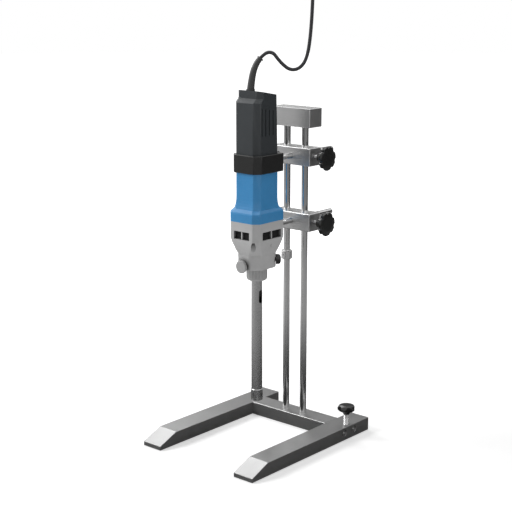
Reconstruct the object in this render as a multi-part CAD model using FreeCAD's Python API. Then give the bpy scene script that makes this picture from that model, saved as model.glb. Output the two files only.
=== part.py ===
import FreeCAD, Part
import math
import os

from FreeCAD import Matrix, Placement, Rotation, Vector

# High shear mixer on a column stand. Millimetres, +Z up, front is -Y.
# Origin: underside of the rear crossbar, midway between the two columns.

# Base frame
STAND_WIDTH = 346.0
LEG_WIDTH = 56.0
LEG_LENGTH = 438.0
LEG_BEHIND = 79.0
BASE_HEIGHT = 32.0
TOE_RUN = 54.0
TOE_HEIGHT = 10.0
CROSSBAR_DEPTH = 51.0
EDGE_BREAK = 0.6
BASE_BOLT_SPACING = 38.0
BASE_BOLT_HEIGHT = 18.5
BASE_BOLT_SHANK = 8.0
BASE_BOLT_GRIP = 58.0
BASE_COUNTERBORE = 17.0
BASE_COUNTERBORE_DEPTH = 10.0

# Socket head screws: head diameter and height follow the shank
HEAD_RATIO = 1.63
HEX_RATIO = 0.75
FIT = 0.05
SEAT_GAP = 0.3

# Columns and stop collar
COLUMN_DIAMETER = 16.0
COLUMN_SPACING = 55.0
COLUMN_SEAT = 12.0
COLUMN_BOLT_SHANK = 8.0
COLUMN_BOLT_THREAD = 16.0
COLUMN_COUNTERBORE = 9.0
STOP_COLLAR_DIAMETER = 27.0
STOP_COLLAR_HEIGHT = 21.0
STOP_COLLAR_Z = 420.0
SET_SCREW_DIAMETER = 6.0

# Level screw in the right leg
LEVEL_X_INSET = 13.0
LEVEL_Y = 4.5
LEVEL_SPINDLE_DIAMETER = 14.0
LEVEL_SPINDLE_RISE = 27.0
LEVEL_KNOB_DIAMETER = 44.0
LEVEL_KNOB_HEIGHT = 23.0
LEVEL_KNOB_LOBES = 5
LEVEL_PAD_DIAMETER = 26.0
LEVEL_PAD_HEIGHT = 7.0
LEVEL_RECESS_DEPTH = 9.0
LEVEL_JOURNAL_DIAMETER = 8.0

# Blocks on the columns
BLOCK_WIDTH = 118.0
BLOCK_DEPTH = 43.0
BLOCK_HEIGHT = 43.0
BLOCK_CHAMFER = 1.0
TOP_BLOCK_Z = 750.0
TOP_BLOCK_DEPTH = 46.0
TOP_BLOCK_HEIGHT = 45.0
TOP_SEAT_DEPTH = 25.0
UPPER_ARM_Z = 680.0
LOWER_ARM_Z = 522.0

# Holding rods and clamp knobs
ROD_DIAMETER = 14.0
ROD_REAR_Y = 140.0
ROD_CHAMFER = 2.5
STUD_DIAMETER = 10.0
STUD_GAP = 12.0
KNOB_DIAMETER = 60.0
KNOB_LOBES = 7
KNOB_HUB_LENGTH = 18.0
KNOB_HUB_SMALL = 22.0
KNOB_HUB_LARGE = 30.0
KNOB_RIM = 11.0
PAD_DIAMETER = 8.6
PAD_THICKNESS = 3.0

# Motor axis and housings
REACH = 144.0
BODY_X = 76.0
BODY_Y = 85.0
BODY_CHAMFER = 13.0
REAR_LEAN = 5.0
FLANGE_X = 92.6
FLANGE_Y = 109.4
FLANGE_CHAMFER = 13.4
GEARBOX_X = 75.0
GEARBOX_Y = 91.0
GEARBOX_CHAMFER = 20.0
WALL = 3.2
CORNER_WALL = 8.0
HOUSING_TOP_FRONT = 848.0
HOUSING_TOP_SLOPE = 16.0
SHOULDER_LOW = 818.0
SHOULDER_HIGH = 828.0
SHOULDER_STEP = 10.0
HOUSING_JOINT_Z = 677.0
FLARE_TOP_Z = 600.0
FLANGE_TOP_Z = 566.0
FLANGE_Z = 543.0
TAPER_TOP_Z = 503.0
TAPER_LOW_Z = 464.5
GEARBOX_Z = 429.0
GEARBOX_FLOOR = 22.0
VENT_LOW = 503.0
VENT_HIGH = 522.0
FRONT_VENT = 47.0
SIDE_VENT = 66.0
VENT_RIB = 3.0
VENT_RIB_SET_BACK = 2.0
VENT_DEPTH = 12.0
INTAKE_SLOTS = 5
INTAKE_PITCH = 13.0
INTAKE_WIDTH = 2.6
INTAKE_LOW = 743.0
INTAKE_HIGH = 811.0

# Motor collar
COLLAR_X = 86.0
COLLAR_Y = 94.0
COLLAR_CHAMFER = 14.0
COLLAR_ROUND = 4.0
COLLAR_Z = 657.0
COLLAR_HEIGHT = 42.0
COLLAR_BRACKET_WIDTH = 42.0
COLLAR_BRACKET_Y = 60.0
COLLAR_SLIT = 2.0
COLLAR_SCREW = 5.0
COLLAR_SCREW_OFFSET = 13.5

# Rear boss for the lower rod
BOSS_DIAMETER = 26.0
BOSS_Y = 70.0
BOSS_SEAT = 12.0

# Housing screws in the arched corner recesses
HOUSING_SCREW = 5.0
HOUSING_SCREW_X = 31.0
HOUSING_SCREW_Y = 48.0
ARCH_RADIUS = 5.5
SCREW_SEAT_DEPTH = 39.0
HOUSING_SCREW_REACH = 14.0
SIDE_ARCH_RADIUS = 5.0
SIDE_ARCH_LOW = 474.0
SIDE_ARCH_HIGH = 487.0
SIDE_ARCH_POINT = 8.0

# Mixing shaft
NUT_DIAMETER = 50.0
NUT_Z = 397.0
NUT_LIP = 3.0
NUT_ROUND = 8.0
NUT_THREAD_DIAMETER = 38.0
NUT_GROOVES = 20
SLIP_RING_THICKNESS = 2.0
TUBE_DIAMETER = 26.0
TUBE_WALL = 2.0
TUBE_FLANGE_DIAMETER = 36.0
TUBE_FLANGE_THICKNESS = 4.0
TUBE_SLOT_WIDTH = 12.0
TUBE_SLOT_LOW = 342.0
TUBE_SLOT_HIGH = 374.0
STATOR_TOP = 127.0
STATOR_BOTTOM = 99.0
STATOR_DIAMETER = 28.0
STATOR_BORE = 22.0
STATOR_SLOTS = 4
STATOR_SLOT_WIDTH = 4.5
STATOR_SLOT_LOW = 103.0
STATOR_SLOT_HIGH = 118.0
SHEAR_GAP = 0.4
ROTOR_HEIGHT = 22.0
ROTOR_TEETH = 4
SHAFT_DIAMETER = 8.0
BUSH_HEIGHT = 12.0
COUPLING_DIAMETER = 16.0

# Gear train
GEAR_MODULE = 1.0
PINION_TEETH = 18
WHEEL_TEETH = 24
GEAR_WIDTH = 9.0
GEAR_BACKLASH = 0.18
PRESSURE_ANGLE = 20.0
OUTPUT_GEAR_LIFT = 2.0
CARRIER_PLATE_GAP = 2.0
INPUT_GEAR_LIFT = 4.0
BEARING_PLATE_GAP = 4.0
CARRIER_PLATE_HEIGHT = 6.0
BEARING_PLATE_HEIGHT = 10.0
SPINDLE_DIAMETER = 12.0
SPINDLE_JOURNAL = 10.0
COUNTERSHAFT_DIAMETER = 8.0
COUNTERSHAFT_END = 6.0
COUNTERSHAFT_BUSH = 10.0
COUNTERSHAFT_BUSH_HEIGHT = 8.0
SPINDLE_BEARING_OUTSIDE = 28.0
SPINDLE_BEARING_Z = 431.0
SPINDLE_BEARING_HEIGHT = 8.0
UPPER_BEARING_OUTSIDE = 22.0

# Motor
ARMATURE_DIAMETER = 42.0
ARMATURE_LOW = 603.0
ARMATURE_HIGH = 662.0
ARMATURE_SLOTS = 12
AIR_GAP = 0.7
STATOR_STACK_DIAMETER = 69.0
ARMATURE_SHAFT = 10.0
ARMATURE_JOURNAL = 8.0
COMMUTATOR_DIAMETER = 28.0
COMMUTATOR_LOW = 698.0
COMMUTATOR_HEIGHT = 24.0
BRUSH_SECTION = (6.0, 9.0)
BRUSH_LENGTH = 14.0
ARMATURE_BEARING_OUTSIDE = 26.0
ARMATURE_BEARING_HEIGHT = 8.0
TOP_BEARING_OUTSIDE = 22.0
TOP_BEARING_Z = 738.0
TOP_BEARING_HEIGHT = 7.0
FAN_DIAMETER = 76.0
FAN_LIFT = 4.0
FAN_HEIGHT = 18.0
FAN_BLADES = 9

# Controls on the housings
SELECTOR_DIAMETER = 30.0
SELECTOR_Z = 438.5
SELECTOR_PROUD = 13.0
SELECTOR_FACE = 6.0
SELECTOR_STEM = 4.0
LOCK_BUTTON_DIAMETER = 24.0
LOCK_BUTTON_PROUD = 12.0
LOCK_BUTTON_Z = 447.0
LOCK_TRAVEL = 4.0
LOCK_PIN = 3.0
LOCK_STEM = 5.0
LOCK_POCKET = 22.0
LOCK_BUTTON_GAP = 0.4
LOCK_BORE_REACH = 60.0
SWITCH_Z = 772.0
SWITCH_TRAVEL = 6.0
DIAL_Z = 806.0
DIAL_DIAMETER = 26.0
DIAL_PROUD = 2.5
DIAL_WIDTH = 7.2
DIAL_STEM = 3.0
DIAL_SLOT_HEIGHT = 24.0

# Cord: centre line as distance outwards from the strain relief's foot, and height
CORD_DIAMETER = 8.0
CORD_HEADING = 41.0
CORD_FOOT_Y = 22.0
STRAIN_RELIEF_PATH = ((0.0, 838.0), (0.5, 850.0), (3.2, 872.0), (8.8, 895.0), (17.0, 911.5), (23.0, 919.0))
STRAIN_RELIEF_BASE = 20.0
STRAIN_RELIEF_LARGE = 18.0
STRAIN_RELIEF_SMALL = 12.3
STRAIN_RELIEF_LIP = 15.7
CORD_ROUTE = (
    (23.0, 919.0), (34.0, 931.0), (51.0, 931.0), (62.0, 916.0), (74.0, 903.0),
    (89.0, 892.0), (107.0, 893.0), (122.0, 907.0), (130.0, 931.0), (134.0, 960.0),
    (136.5, 990.0), (138.5, 1026.0), (139.5, 1061.0),
)
FITTING_DIAMETER = 24.0
FITTING_HEIGHT = 26.0

# Derived places
X = Vector(1, 0, 0)
Y = Vector(0, 1, 0)
Z = Vector(0, 0, 1)
LEG_FRONT = LEG_BEHIND - LEG_LENGTH
LEG_INSIDE = STAND_WIDTH / 2 - LEG_WIDTH
COLUMN_X = COLUMN_SPACING / 2
LEVEL_X = STAND_WIDTH / 2 - LEVEL_X_INSET
AXIS_Y = -REACH
GEAR_OFFSET = GEAR_MODULE * (PINION_TEETH + WHEEL_TEETH) / 2
COUNTER_Y = AXIS_Y - GEAR_OFFSET
GEAR_FLOOR_Z = GEARBOX_Z + GEARBOX_FLOOR
OUTPUT_GEAR_Z = GEAR_FLOOR_Z + OUTPUT_GEAR_LIFT
CARRIER_PLATE_Z = OUTPUT_GEAR_Z + GEAR_WIDTH + CARRIER_PLATE_GAP
INPUT_GEAR_Z = CARRIER_PLATE_Z + CARRIER_PLATE_HEIGHT + INPUT_GEAR_LIFT
FAN_CHAMBER_Z = INPUT_GEAR_Z + GEAR_WIDTH + BEARING_PLATE_GAP
FAN_Z = FAN_CHAMBER_Z + BEARING_PLATE_HEIGHT + FAN_LIFT
SPINDLE_TOP = CARRIER_PLATE_Z + CARRIER_PLATE_HEIGHT + 1.5
ARCH_TOP = FLANGE_Z - SCREW_SEAT_DEPTH
NUT_THREAD_LOW = NUT_Z + NUT_LIP + SLIP_RING_THICKNESS + TUBE_FLANGE_THICKNESS
TUBE_TOP = NUT_THREAD_LOW
SHAFT_TOP = TUBE_TOP + 4.0
LOCK_DIRECTION = Vector(1, 1, 0).normalize()
LOCK_AXIS_POINT = Vector(0, AXIS_Y, LOCK_BUTTON_Z)

# Bearings as bore radius and outside radius
SPINDLE_BEARING = (SPINDLE_DIAMETER / 2, SPINDLE_BEARING_OUTSIDE / 2)
UPPER_SPINDLE_BEARING = (SPINDLE_JOURNAL / 2, UPPER_BEARING_OUTSIDE / 2)
ARMATURE_BEARING = (ARMATURE_SHAFT / 2, ARMATURE_BEARING_OUTSIDE / 2)
TOP_BEARING = (ARMATURE_JOURNAL / 2, TOP_BEARING_OUTSIDE / 2)


def cylinder(radius, low, high, x=0.0, y=0.0):
    return Part.makeCylinder(radius, high - low, Vector(x, y, low), Z)


def ring(outer, inner, low, high, x=0.0, y=0.0):
    return cylinder(outer, low, high, x, y).cut(cylinder(inner, low, high, x, y))


def bar(radius, start, axis, length):
    return Part.makeCylinder(radius, length, start, axis)


def block(x0, x1, y0, y1, z0, z1):
    return Part.makeBox(x1 - x0, y1 - y0, z1 - z0, Vector(x0, y0, z0))


def turned(points, x=0.0, y=0.0):
    """Solid of revolution about a vertical axis from (radius, height) points."""
    corners = [Vector(r, 0, z) for r, z in points]
    face = Part.Face(Part.makePolygon(corners + corners[:1]))
    solid = face.revolve(Vector(0, 0, 0), Z, 360)
    solid.translate(Vector(x, y, 0))
    return solid


def aimed(shape, place, axis):
    """A shape drawn along +Z from the origin, turned to an axis and put in its place."""
    copy = shape.copy()
    copy.Placement = Placement(place, Rotation(Z, axis)).multiply(copy.Placement)
    return copy


def rounded_wire(corners, radius, z):
    """Closed outline through the corners, each rounded with a tangent arc."""
    count = len(corners)
    stops = []
    for i, corner in enumerate(corners):
        here = Vector(corner[0], corner[1], z)
        before = Vector(corners[i - 1][0], corners[i - 1][1], z)
        after = Vector(corners[(i + 1) % count][0], corners[(i + 1) % count][1], z)
        back = (before - here).normalize()
        ahead = (after - here).normalize()
        half = back.getAngle(ahead) / 2
        reach = radius / math.tan(half)
        middle = (back + ahead).normalize() * (radius / math.sin(half) - radius)
        stops.append((here + back * reach, here + middle, here + ahead * reach))
    edges = []
    for i, (start, middle, end) in enumerate(stops):
        edges.append(Part.Arc(start, middle, end).toShape())
        edges.append(Part.LineSegment(end, stops[(i + 1) % count][0]).toShape())
    return Part.Wire(edges)


def section(size_x, size_y, chamfer, z, round_radius=4.0, y=AXIS_Y):
    """Rectangle with chamfered corners, centred on the motor axis."""
    hx, hy = size_x / 2, size_y / 2
    corners = (
        (hx, hy - chamfer), (hx - chamfer, hy), (-hx + chamfer, hy), (-hx, hy - chamfer),
        (-hx, -hy + chamfer), (-hx + chamfer, -hy), (hx - chamfer, -hy), (hx, -hy + chamfer),
    )
    return rounded_wire([(cx, cy + y) for cx, cy in corners], round_radius, z)


def lofted(wires):
    return Part.makeLoft(wires, True, True)


def prism(wire, height):
    return Part.Face(wire).extrude(Vector(0, 0, height))


def mirrored_x(shape):
    flip = Matrix()
    flip.scale(-1, 1, 1)
    return shape.transformGeometry(flip)


def socket_screw(shank, length, place, axis):
    """Socket head screw: the head's seat is at the place, the shank runs along the axis."""
    head = shank * HEAD_RATIO / 2
    screw = Part.makeCylinder(shank / 2, length, Vector(0, 0, 0), Z)
    screw = screw.fuse(Part.makeCylinder(head, shank, Vector(0, 0, -shank), Z))
    corners = []
    for i in range(6):
        turn = math.radians(60 * i)
        corners.append((HEX_RATIO * shank / 2 / math.cos(math.pi / 6) * math.cos(turn),
                        HEX_RATIO * shank / 2 / math.cos(math.pi / 6) * math.sin(turn)))
    points = [Vector(cx, cy, -shank) for cx, cy in corners]
    socket = Part.Face(Part.makePolygon(points + points[:1])).extrude(Vector(0, 0, shank * 0.5))
    return aimed(screw.cut(socket).removeSplitter(), place, axis)


def set_screw(diameter, length, place, axis):
    """Headless screw: its open end is at the place, its point runs along the axis."""
    screw = Part.makeCylinder(diameter / 2, length, Vector(0, 0, 0), Z)
    socket = Part.makeCylinder(diameter * 0.28, diameter * 0.5, Vector(0, 0, 0), Z)
    return aimed(screw.cut(socket), place, axis)


def star_wire(outer, valley, lobes, z):
    """Outline of a star knob: convex lobes joined by concave valleys."""
    waist = (outer + valley) / 2
    spread = math.pi / lobes * 0.62
    edges = []
    for i in range(lobes):
        peak = 2 * math.pi * i / lobes
        dip = peak + math.pi / lobes
        start = Vector(waist * math.cos(peak - spread), waist * math.sin(peak - spread), z)
        top = Vector(outer * math.cos(peak), outer * math.sin(peak), z)
        end = Vector(waist * math.cos(peak + spread), waist * math.sin(peak + spread), z)
        low = Vector(valley * math.cos(dip), valley * math.sin(dip), z)
        turn = peak + 2 * math.pi / lobes - spread
        following = Vector(waist * math.cos(turn), waist * math.sin(turn), z)
        edges.append(Part.Arc(start, top, end).toShape())
        edges.append(Part.Arc(end, low, following).toShape())
    return Part.Wire(edges)


def star_knob(diameter, lobes, hub_small, hub_large, hub_length, rim, bore):
    """Star knob drawn along +Z: tapered hub first, lobed rim last."""
    outer = diameter / 2
    lobed = prism(star_wire(outer, outer * 0.8, lobes, hub_length), rim)
    edge = rim * 0.25
    disc = turned((
        (0, hub_length), (outer - edge, hub_length), (outer, hub_length + edge),
        (outer, hub_length + rim - 2 * edge), (outer - edge, hub_length + rim - edge / 2),
        (outer * 0.55, hub_length + rim), (0, hub_length + rim),
    ))
    hub = turned(((0, 0), (hub_small / 2, 0), (hub_large / 2, hub_length), (0, hub_length)))
    knob = hub.fuse(lobed.common(disc))
    hole = Part.makeCylinder(bore / 2, hub_length + rim * 0.4, Vector(0, 0, 0), Z)
    return knob.cut(hole).removeSplitter()


def involute(angle):
    return math.tan(angle) - angle


def spur_gear(teeth, low, high, bore, x, y, tooth_at):
    """Spur gear with involute flanks; one tooth points in the direction tooth_at."""
    pitch = GEAR_MODULE * teeth / 2
    base = pitch * math.cos(math.radians(PRESSURE_ANGLE))
    tip = pitch + GEAR_MODULE * 0.9
    root = pitch - GEAR_MODULE * 1.2
    at_pitch = math.pi / (2 * teeth) - GEAR_BACKLASH / (2 * pitch)
    rolled = at_pitch + involute(math.radians(PRESSURE_ANGLE))

    def half_angle(radius):
        return rolled - involute(math.acos(min(1.0, base / radius)))

    flank = ((root, half_angle(base)), (max(base, root) + 0.1, half_angle(max(base, root) + 0.1)),
             (pitch, half_angle(pitch)), (tip, half_angle(tip)))
    points = []
    for i in range(teeth):
        middle = tooth_at + 2 * math.pi * i / teeth
        for radius, angle in flank:
            turn = middle - angle
            points.append(Vector(x + radius * math.cos(turn), y + radius * math.sin(turn), low))
        for radius, angle in reversed(flank):
            turn = middle + angle
            points.append(Vector(x + radius * math.cos(turn), y + radius * math.sin(turn), low))
    gear = Part.Face(Part.makePolygon(points + points[:1])).extrude(Vector(0, 0, high - low))
    return gear.cut(cylinder(bore / 2, low, high, x, y))


# Base frame

def base_bolt_places():
    reach = STAND_WIDTH / 2 - BASE_COUNTERBORE_DEPTH
    for side in (-1, 1):
        for offset in (-0.5, 0.5):
            seat = Vector(side * reach, offset * BASE_BOLT_SPACING, BASE_BOLT_HEIGHT)
            yield seat, Vector(-side, 0, 0)


def right_leg_blank():
    profile = (
        (LEG_BEHIND, 0), (LEG_BEHIND, BASE_HEIGHT), (LEG_FRONT + TOE_RUN, BASE_HEIGHT),
        (LEG_FRONT, TOE_HEIGHT), (LEG_FRONT, 0),
    )
    corners = [Vector(LEG_INSIDE, y, z) for y, z in profile]
    leg = Part.Face(Part.makePolygon(corners + corners[:1])).extrude(Vector(LEG_WIDTH, 0, 0))
    leg = leg.makeChamfer(EDGE_BREAK, leg.Edges)
    for seat, inwards in base_bolt_places():
        if inwards.x < 0:
            leg = leg.cut(bar(BASE_COUNTERBORE / 2, seat, X, BASE_COUNTERBORE_DEPTH))
            leg = leg.cut(bar(BASE_BOLT_SHANK / 2 + FIT, seat, inwards, LEG_WIDTH))
    return leg


def make_legs():
    blank = right_leg_blank()
    hole = cylinder(LEVEL_SPINDLE_DIAMETER / 2 + FIT, 0, BASE_HEIGHT, LEVEL_X, LEVEL_Y)
    recess = cylinder(LEVEL_PAD_DIAMETER / 2 + 2, 0, LEVEL_RECESS_DEPTH, LEVEL_X, LEVEL_Y)
    recess = recess.common(block(LEG_INSIDE + 4, STAND_WIDTH / 2 - 1, -50, 50, 0, BASE_HEIGHT))
    save("right_leg", blank.cut(hole).cut(recess))
    save("left_leg", mirrored_x(blank))


def make_crossbar():
    half = CROSSBAR_DEPTH / 2
    bar_body = block(-LEG_INSIDE, LEG_INSIDE, -half, half, 0, BASE_HEIGHT)
    lengthwise = [edge for edge in bar_body.Edges if abs(edge.tangentAt(edge.FirstParameter).x) > 0.9]
    bar_body = bar_body.makeChamfer(EDGE_BREAK, lengthwise)
    for x in (-COLUMN_X, COLUMN_X):
        bar_body = bar_body.cut(cylinder(COLUMN_DIAMETER / 2, BASE_HEIGHT - COLUMN_SEAT, BASE_HEIGHT, x))
        bar_body = bar_body.cut(cylinder(COLUMN_BOLT_SHANK / 2 + FIT, 0, BASE_HEIGHT, x))
        bar_body = bar_body.cut(cylinder(COLUMN_BOLT_SHANK * HEAD_RATIO / 2 + 1, 0, COLUMN_COUNTERBORE, x))
    for seat, inwards in base_bolt_places():
        bar_body = bar_body.cut(bar(BASE_BOLT_SHANK / 2, seat, inwards, BASE_BOLT_GRIP + 4))
    save("rear_crossbar", bar_body)


def make_base_bolts():
    bolts = [socket_screw(BASE_BOLT_SHANK, BASE_BOLT_GRIP, seat, axis) for seat, axis in base_bolt_places()]
    grip = BASE_HEIGHT - COLUMN_SEAT - COLUMN_COUNTERBORE + COLUMN_BOLT_THREAD
    for x in (-COLUMN_X, COLUMN_X):
        bolts.append(socket_screw(COLUMN_BOLT_SHANK, grip, Vector(x, 0, COLUMN_COUNTERBORE), Z))
    save("stand_screws", *bolts)


def make_columns():
    low = BASE_HEIGHT - COLUMN_SEAT
    high = TOP_BLOCK_Z + TOP_SEAT_DEPTH
    for name, x in (("left_column", -COLUMN_X), ("right_column", COLUMN_X)):
        column = cylinder(COLUMN_DIAMETER / 2, low, high, x)
        save(name, column.cut(cylinder(COLUMN_BOLT_SHANK / 2, low, low + COLUMN_BOLT_THREAD + 2, x)))


def bare_block(low, depth=BLOCK_DEPTH, height=BLOCK_HEIGHT):
    body = block(-BLOCK_WIDTH / 2, BLOCK_WIDTH / 2, -depth / 2, depth / 2, low, low + height)
    return body.makeChamfer(BLOCK_CHAMFER, body.Edges)


def make_top_block():
    body = bare_block(TOP_BLOCK_Z, TOP_BLOCK_DEPTH, TOP_BLOCK_HEIGHT)
    screws = []
    height = TOP_BLOCK_Z + TOP_SEAT_DEPTH / 2
    length = TOP_BLOCK_DEPTH / 2 - COLUMN_DIAMETER / 2 - 1
    for x in (-COLUMN_X, COLUMN_X):
        body = body.cut(cylinder(COLUMN_DIAMETER / 2, TOP_BLOCK_Z, TOP_BLOCK_Z + TOP_SEAT_DEPTH, x))
        body = body.cut(bar(SET_SCREW_DIAMETER / 2, Vector(x, 0, height), Y, TOP_BLOCK_DEPTH / 2))
        place = Vector(x, TOP_BLOCK_DEPTH / 2 - 1, height)
        screws.append(set_screw(SET_SCREW_DIAMETER, length, place, -Y))
    save("top_block", body)
    save("stand_screws", *screws)


def make_stop_collar():
    top = STOP_COLLAR_Z + STOP_COLLAR_HEIGHT
    middle = STOP_COLLAR_Z + STOP_COLLAR_HEIGHT / 2
    collar = cylinder(STOP_COLLAR_DIAMETER / 2, STOP_COLLAR_Z, top, -COLUMN_X)
    collar = collar.makeChamfer(1.0, collar.Edges[:1] + collar.Edges[2:])
    collar = collar.cut(cylinder(COLUMN_DIAMETER / 2 + FIT, STOP_COLLAR_Z, top, -COLUMN_X))
    reach = STOP_COLLAR_DIAMETER / 2
    collar = collar.cut(bar(SET_SCREW_DIAMETER / 2, Vector(-COLUMN_X, 0, middle), -Y, reach))
    length = reach - COLUMN_DIAMETER / 2 - 1
    place = Vector(-COLUMN_X, -reach + 0.7, middle)
    save("stop_collar", collar, set_screw(SET_SCREW_DIAMETER, length, place, Y))


# Level screw

def make_level_screw():
    pad = cylinder(LEVEL_PAD_DIAMETER / 2, 0, LEVEL_PAD_HEIGHT, LEVEL_X, LEVEL_Y)
    pad = pad.common(block(LEG_INSIDE, STAND_WIDTH / 2 - 1.5, -50, 50, 0, LEVEL_PAD_HEIGHT))
    socket_floor = LEVEL_PAD_HEIGHT * 0.45
    pad = pad.cut(cylinder(LEVEL_JOURNAL_DIAMETER / 2, socket_floor, LEVEL_PAD_HEIGHT, LEVEL_X, LEVEL_Y))
    save("level_foot_pad", pad)
    top = BASE_HEIGHT + LEVEL_SPINDLE_RISE
    spindle = cylinder(LEVEL_SPINDLE_DIAMETER / 2, LEVEL_PAD_HEIGHT + SEAT_GAP, top, LEVEL_X, LEVEL_Y)
    journal_top = top + LEVEL_KNOB_HEIGHT * 0.5
    journal = cylinder(LEVEL_JOURNAL_DIAMETER / 2 - FIT, socket_floor + FIT, journal_top, LEVEL_X, LEVEL_Y)
    save("level_spindle", spindle.fuse(journal).removeSplitter())
    hub = LEVEL_KNOB_HEIGHT * 0.35
    hub_small = LEVEL_SPINDLE_DIAMETER + 2
    hub_large = LEVEL_SPINDLE_DIAMETER + 8
    knob = star_knob(LEVEL_KNOB_DIAMETER, LEVEL_KNOB_LOBES, hub_small, hub_large,
                     hub, LEVEL_KNOB_HEIGHT - hub, LEVEL_JOURNAL_DIAMETER - 2 * FIT)
    save("level_knob", aimed(knob, Vector(LEVEL_X, LEVEL_Y, top), Z))


# Sliding clamp blocks, rods and knobs

def clamp_block(middle):
    low = middle - BLOCK_HEIGHT / 2
    high = middle + BLOCK_HEIGHT / 2
    body = bare_block(low)
    for x in (-COLUMN_X, COLUMN_X):
        body = body.cut(cylinder(COLUMN_DIAMETER / 2 + FIT, low, high, x))
    body = body.cut(bar(ROD_DIAMETER / 2 + FIT, Vector(0, -BLOCK_DEPTH / 2, middle), Y, BLOCK_DEPTH))
    stud_reach = BLOCK_WIDTH / 2 - COLUMN_X
    body = body.cut(bar(STUD_DIAMETER / 2 + FIT, Vector(COLUMN_X, 0, middle), X, stud_reach))
    return body.cut(bar(SET_SCREW_DIAMETER / 2, Vector(0, 0, low), Z, BLOCK_HEIGHT / 2))


def make_clamps():
    screws = []
    pad_x = COLUMN_X + COLUMN_DIAMETER / 2 + SEAT_GAP
    stud_x = pad_x + PAD_THICKNESS + SEAT_GAP
    face_x = BLOCK_WIDTH / 2
    knob = star_knob(KNOB_DIAMETER, KNOB_LOBES, KNOB_HUB_SMALL, KNOB_HUB_LARGE,
                     KNOB_HUB_LENGTH, KNOB_RIM, STUD_DIAMETER)
    for level, middle in (("upper", UPPER_ARM_Z), ("lower", LOWER_ARM_Z)):
        save(level + "_clamp_block", clamp_block(middle))
        low = middle - BLOCK_HEIGHT / 2
        screw_length = BLOCK_HEIGHT / 2 - ROD_DIAMETER / 2 - SEAT_GAP - 1
        screws.append(set_screw(SET_SCREW_DIAMETER, screw_length, Vector(0, 0, low + 1), Z))
        pin_length = PAD_THICKNESS * 0.5
        pad = bar(PAD_DIAMETER / 2, Vector(pad_x, 0, middle), X, PAD_THICKNESS)
        socket = bar(2.05, Vector(pad_x + PAD_THICKNESS - pin_length, 0, middle), X, pin_length)
        save(level + "_thrust_pad", pad.cut(socket))
        knob_x = face_x + STUD_GAP
        stud = bar(STUD_DIAMETER / 2, Vector(stud_x, 0, middle), X, knob_x + KNOB_HUB_LENGTH - stud_x)
        nose = bar(2.0, Vector(stud_x - SEAT_GAP - pin_length + 0.2, 0, middle), X, 3.0)
        save(level + "_clamp_stud", stud.fuse(nose).removeSplitter())
        save(level + "_clamp_knob", aimed(knob, Vector(knob_x, 0, middle), X))
    save("rod_set_screws", *screws)


def rod(start_y, middle):
    length = ROD_REAR_Y - start_y
    body = bar(ROD_DIAMETER / 2, Vector(0, start_y, middle), Y, length - ROD_CHAMFER)
    tip = Part.makeCone(ROD_DIAMETER / 2, ROD_DIAMETER / 2 - ROD_CHAMFER, ROD_CHAMFER,
                        Vector(0, ROD_REAR_Y - ROD_CHAMFER, middle), Y)
    return body.fuse(tip).removeSplitter()


def make_rods():
    save("upper_rod", rod(AXIS_Y + BODY_Y / 2 + 3, UPPER_ARM_Z))
    save("lower_rod", rod(AXIS_Y + BOSS_Y - BOSS_SEAT, LOWER_ARM_Z))


def collar_wire():
    """Outline of the collar: broken corners in front, square ones behind."""
    hx, hy = COLLAR_X / 2, COLLAR_Y / 2
    corners = (
        (hx, hy), (-hx, hy), (-hx, COLLAR_CHAMFER - hy), (COLLAR_CHAMFER - hx, -hy),
        (hx - COLLAR_CHAMFER, -hy), (hx, COLLAR_CHAMFER - hy),
    )
    return rounded_wire([(x, AXIS_Y + y) for x, y in corners], COLLAR_ROUND, COLLAR_Z)


def make_motor_collar():
    outer = prism(collar_wire(), COLLAR_HEIGHT)
    middle = COLLAR_Z + COLLAR_HEIGHT / 2
    rims = [edge for edge in outer.Edges if abs(edge.CenterOfMass.z - middle) > 1]
    outer = outer.makeChamfer(1.0, rims)
    half = COLLAR_BRACKET_WIDTH / 2
    high = COLLAR_Z + COLLAR_HEIGHT
    body_rear = AXIS_Y + BODY_Y / 2
    bracket = block(-half, half, body_rear - 5, AXIS_Y + COLLAR_BRACKET_Y, COLLAR_Z, high)
    upright = [edge for edge in bracket.Edges if abs(edge.tangentAt(edge.FirstParameter).z) > 0.9]
    bracket = bracket.makeFillet(5.0, [edge for edge in upright if edge.CenterOfMass.y > body_rear])
    room = prism(section(BODY_X, BODY_Y, BODY_CHAMFER, COLLAR_Z), COLLAR_HEIGHT)
    collar = outer.fuse(bracket).cut(room)
    start = body_rear + 3
    collar = collar.cut(bar(ROD_DIAMETER / 2, Vector(0, start, UPPER_ARM_Z), Y, COLLAR_BRACKET_Y))
    slit = COLLAR_SLIT / 2
    collar = collar.cut(block(-slit, slit, start - 5, 0, COLLAR_Z, high))
    screws = []
    screw_y = AXIS_Y + COLLAR_BRACKET_Y - 7
    head = COLLAR_SCREW * HEAD_RATIO / 2 + 0.3
    for side in (-1, 1):
        height = UPPER_ARM_Z + side * COLLAR_SCREW_OFFSET
        collar = collar.cut(bar(COLLAR_SCREW / 2, Vector(-half + 4, screw_y, height), X, half * 2))
        seat = Vector(half - COLLAR_SCREW, screw_y, height)
        collar = collar.cut(bar(head, seat, X, 9))
        screws.append(socket_screw(COLLAR_SCREW, half * 2 - COLLAR_SCREW - 5, seat, -X))
    save("motor_collar", collar.removeSplitter())
    save("head_screws", *screws)


# Motor housings

def taper_share(t):
    return 1 - (1 - t) ** 1.3


def blend_size(low, high, share):
    return low + (high - low) * share


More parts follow.
